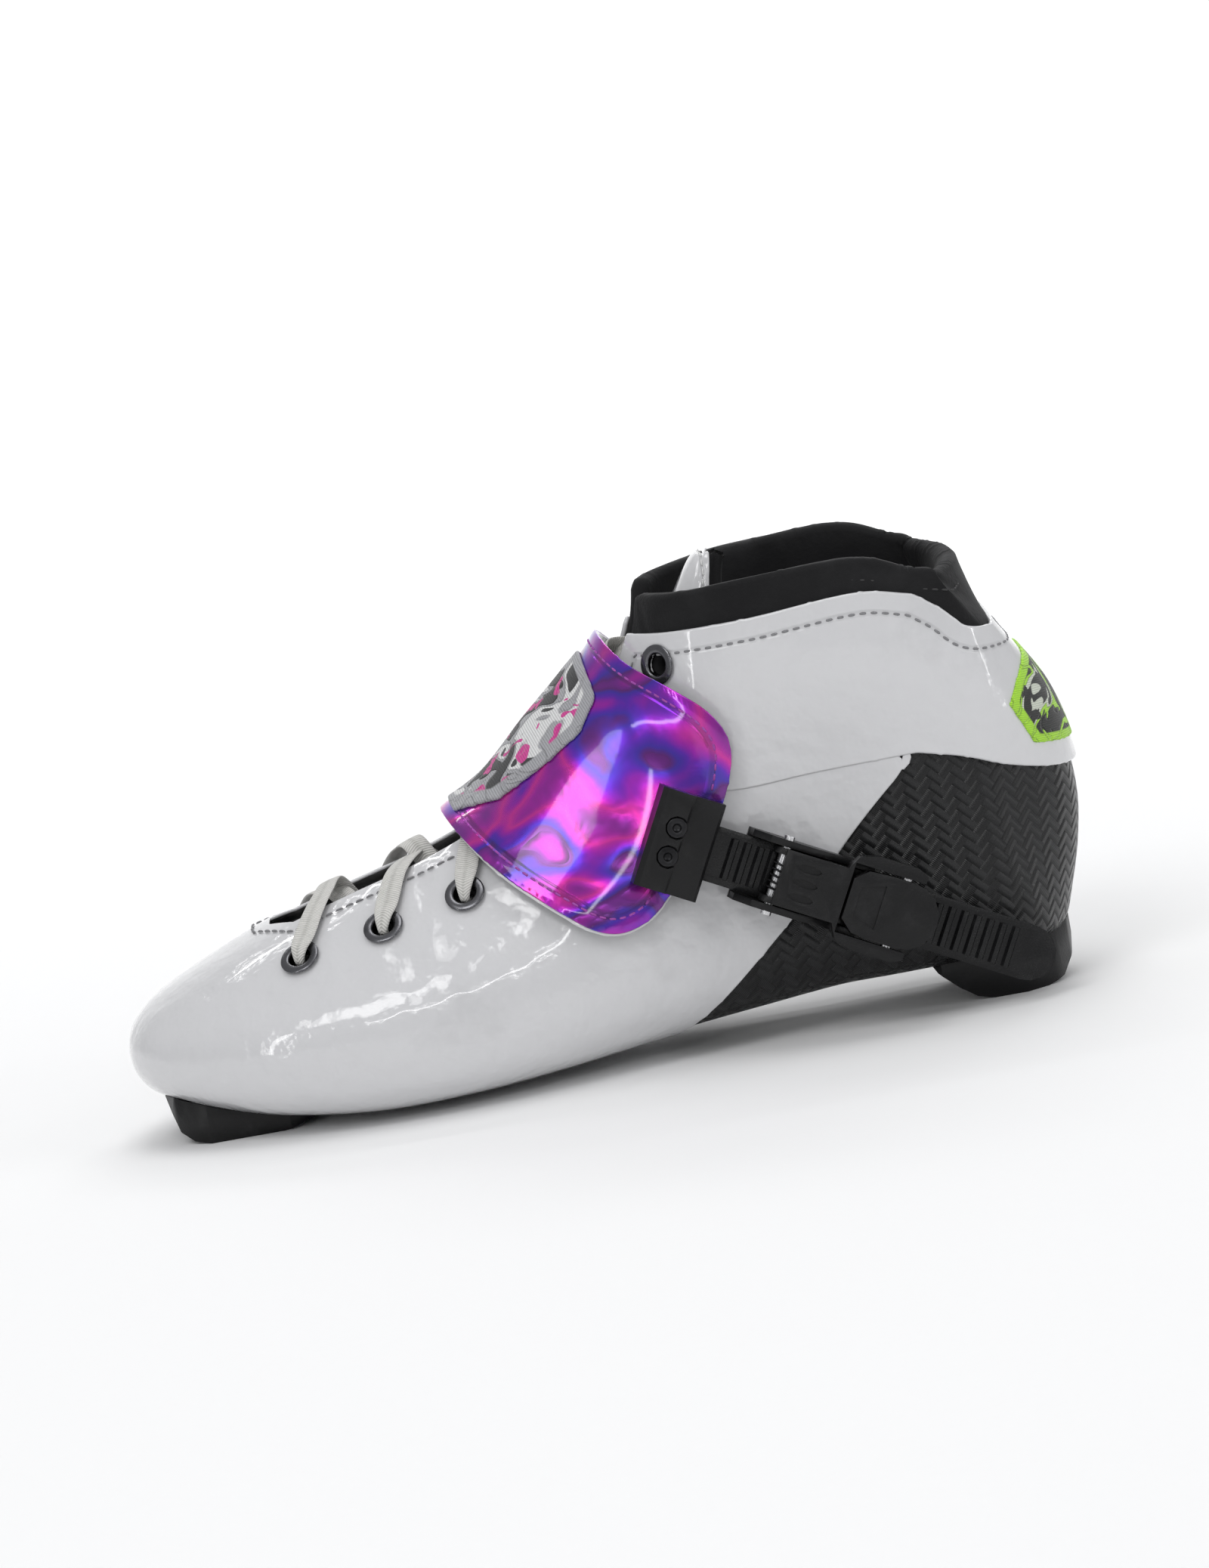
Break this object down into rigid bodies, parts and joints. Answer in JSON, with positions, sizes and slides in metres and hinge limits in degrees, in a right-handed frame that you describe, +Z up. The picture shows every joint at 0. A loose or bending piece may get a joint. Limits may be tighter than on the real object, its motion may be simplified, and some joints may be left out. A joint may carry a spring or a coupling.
{
  "type": "speed skating boot",
  "caption": "Low-cut left speed skating boot with carbon shell, patent upper, laces, instep strap with ratchet buckle and two frame mounting blocks.",
  "frame": {"origin": "on the ground, under the middle of the boot's box", "axes": "+X towards the heel, -Y towards the outer side of the foot, +Z up"},
  "size_m": [0.2678, 0.0972, 0.1334],
  "materials": {
    "carbon": "clear-coated carbon twill",
    "white_patent": "white patent leather, high gloss",
    "black_microfibre": "brushed black microfibre over foam",
    "black_lining": "matte black lining",
    "lace_weave": "off-white woven flat lace",
    "iridescent_film": "glossy iridescent magenta, violet and blue film",
    "strap_embroidery": "grey, black and pink satin-stitch embroidery",
    "heel_embroidery": "lime, black and off-white satin-stitch embroidery",
    "black_plastic": "satin black moulded plastic",
    "gunmetal": "gunmetal plated, polished",
    "steel": "bright zinc-plated steel",
    "nut_aluminium": "machined"
  },
  "bodies": {
    "boot": {"carbon_shell": "carbon", "forefoot_upper": "white_patent", "ankle_cuff": "white_patent", "collar_padding": "black_microfibre", "foot_lining": "black_lining", "tongue": "black_microfibre", "tongue_cover": "white_patent", "footbed": "black_lining", "eyelet_lateral_1": "gunmetal", "eyelet_medial_1": "gunmetal", "eyelet_lateral_2": "gunmetal", "eyelet_medial_2": "gunmetal", "eyelet_lateral_3": "gunmetal", "eyelet_medial_3": "gunmetal", "eyelet_lateral_4": "gunmetal", "eyelet_medial_4": "gunmetal", "eyelet_lateral_5": "gunmetal", "eyelet_medial_5": "gunmetal", "eyelet_lateral_6": "gunmetal", "eyelet_medial_6": "gunmetal", "lace": "lace_weave", "instep_strap": "iridescent_film", "strap_patch": "strap_embroidery", "strap_rivet_1": "steel", "strap_rivet_2": "steel", "buckle_base_pad": "black_plastic", "buckle_screw": "steel", "buckle_nut": "steel", "buckle_frame": "black_plastic", "lever_pin": "steel", "holding_pawl_pin": "steel", "lever_spring": "steel", "heel_patch": "heel_embroidery", "front_mount_block": "carbon", "rear_mount_block": "carbon"},
    "ladder": {"ladder_strap": "black_plastic", "strap_holder": "black_plastic", "holder_screw_1": "steel", "holder_screw_2": "steel"},
    "lever": {"ratchet_lever": "black_plastic", "latch_pin": "steel", "drive_pawl_pin": "steel", "latch_spring": "steel"},
    "latch": {"release_latch": "black_plastic"},
    "drive_pawl_body": {"drive_pawl": "steel"},
    "holding_pawl_body": {"holding_pawl": "steel"},
    "front_nut": {"front_frame_nut": "nut_aluminium"},
    "rear_nut": {"rear_frame_nut": "nut_aluminium"}
  },
  "joints": [
    {"name": "ladder_slide", "type": "slide", "parent": "boot", "child": "ladder", "axis": [-0.8772, -0.0487, 0.4776], "range_m": [0, 0.0144]},
    {"name": "lever_hinge", "type": "hinge", "parent": "boot", "child": "lever", "pos_m": [0.04776, -0.04495, 0.04786], "axis": [-0.4733, -0.079, -0.8774], "range_deg": [0, 60], "stiffness_Nm_per_rad": 0.02},
    {"name": "latch_hinge", "type": "hinge", "parent": "lever", "child": "latch", "pos_m": [0.07684, -0.04494, 0.03218], "axis": [0.4733, 0.079, 0.8774], "range_deg": [0, 8], "stiffness_Nm_per_rad": 0.05},
    {"name": "drive_pawl_hinge", "type": "hinge", "parent": "lever", "child": "drive_pawl_body", "pos_m": [0.05876, -0.04474, 0.04191], "axis": [-0.4733, -0.079, -0.8774], "range_deg": [0, 8], "stiffness_Nm_per_rad": 0.01},
    {"name": "holding_pawl_hinge", "type": "hinge", "parent": "boot", "child": "holding_pawl_body", "pos_m": [0.068, -0.04133, 0.03662], "axis": [0.4733, 0.079, 0.8774], "range_deg": [0, 7], "stiffness_Nm_per_rad": 0.01},
    {"name": "front_nut_slide", "type": "slide", "parent": "boot", "child": "front_nut", "axis": [0, 1, 0], "range_m": [-0.005, 0.005]},
    {"name": "rear_nut_slide", "type": "slide", "parent": "boot", "child": "rear_nut", "axis": [0, 1, 0], "range_m": [-0.005, 0.005]}
  ]
}
